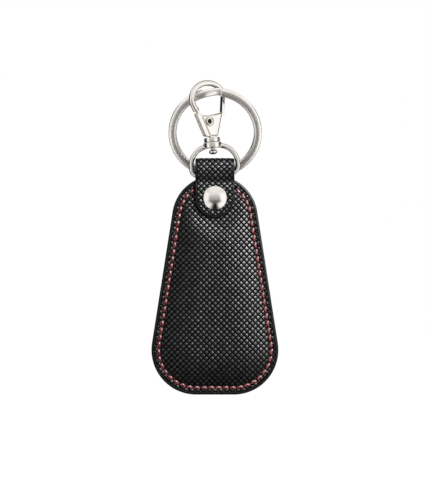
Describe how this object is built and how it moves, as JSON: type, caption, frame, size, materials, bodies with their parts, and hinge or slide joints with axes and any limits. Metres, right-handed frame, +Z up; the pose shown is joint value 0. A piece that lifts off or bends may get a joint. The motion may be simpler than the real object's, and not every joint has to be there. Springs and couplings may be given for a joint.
{
  "type": "leather keychain",
  "caption": "Padded leather key fob hung by a strap from a swivel trigger clasp, with a split key ring through the clasp's hook.",
  "frame": {"origin": "inner top of the clasp's hook, the point on which the keychain hangs", "axes": "+Z up along the hanging fob, front face towards -Y, +X to the right seen from the front"},
  "size_m": [0.0406, 0.0158, 0.1006],
  "materials": {
    "nickel_plate": "bright satin nickel plate",
    "spring_steel": "plain",
    "black_leather": "embossed, semi-gloss",
    "red_thread": "waxed polyester thread",
    "foam": "open-cell foam",
    "fibre_board": "bonded leather board"
  },
  "bodies": {
    "clasp": {"hook_body": "nickel_plate", "swivel_post": "nickel_plate", "gate_rivet": "nickel_plate", "gate_spring": "spring_steel"},
    "gate": {"gate_lever": "nickel_plate"},
    "swivel": {"swivel_loop": "nickel_plate"},
    "fob": {"strap": "black_leather", "stiffener_board": "fibre_board", "front_panel": "black_leather", "front_padding": "foam", "front_stitching": "red_thread", "back_panel": "black_leather", "back_padding": "foam", "back_stitching": "red_thread", "rivet_cap": "nickel_plate", "rivet_post": "nickel_plate"},
    "ring": {"key_ring": "nickel_plate"}
  },
  "joints": [
    {"name": "gate_hinge", "type": "hinge", "parent": "clasp", "child": "gate", "pos_m": [0.0003, -0.0005, -0.01148], "axis": [0.4822, -0.8746, 0.0507], "range_deg": [0, 15], "stiffness_Nm_per_rad": 0.02, "springref_deg": -11.46},
    {"name": "swivel_turn", "type": "hinge", "parent": "clasp", "child": "swivel", "pos_m": [0.00102, -0.0001, -0.01141], "axis": [-0.1045, 0, 0.9945], "continuous": true},
    {"name": "fob_tilt", "type": "hinge", "parent": "swivel", "child": "fob", "pos_m": [0.00278, -0.0001, -0.02812], "axis": [0.9945, 0, 0.1045], "range_deg": [-45, 45]},
    {"name": "ring_swing", "type": "hinge", "parent": "clasp", "child": "ring", "pos_m": [0.00267, -0.0008, -0.002], "axis": [1, 0, 0], "range_deg": [0, 55]}
  ]
}
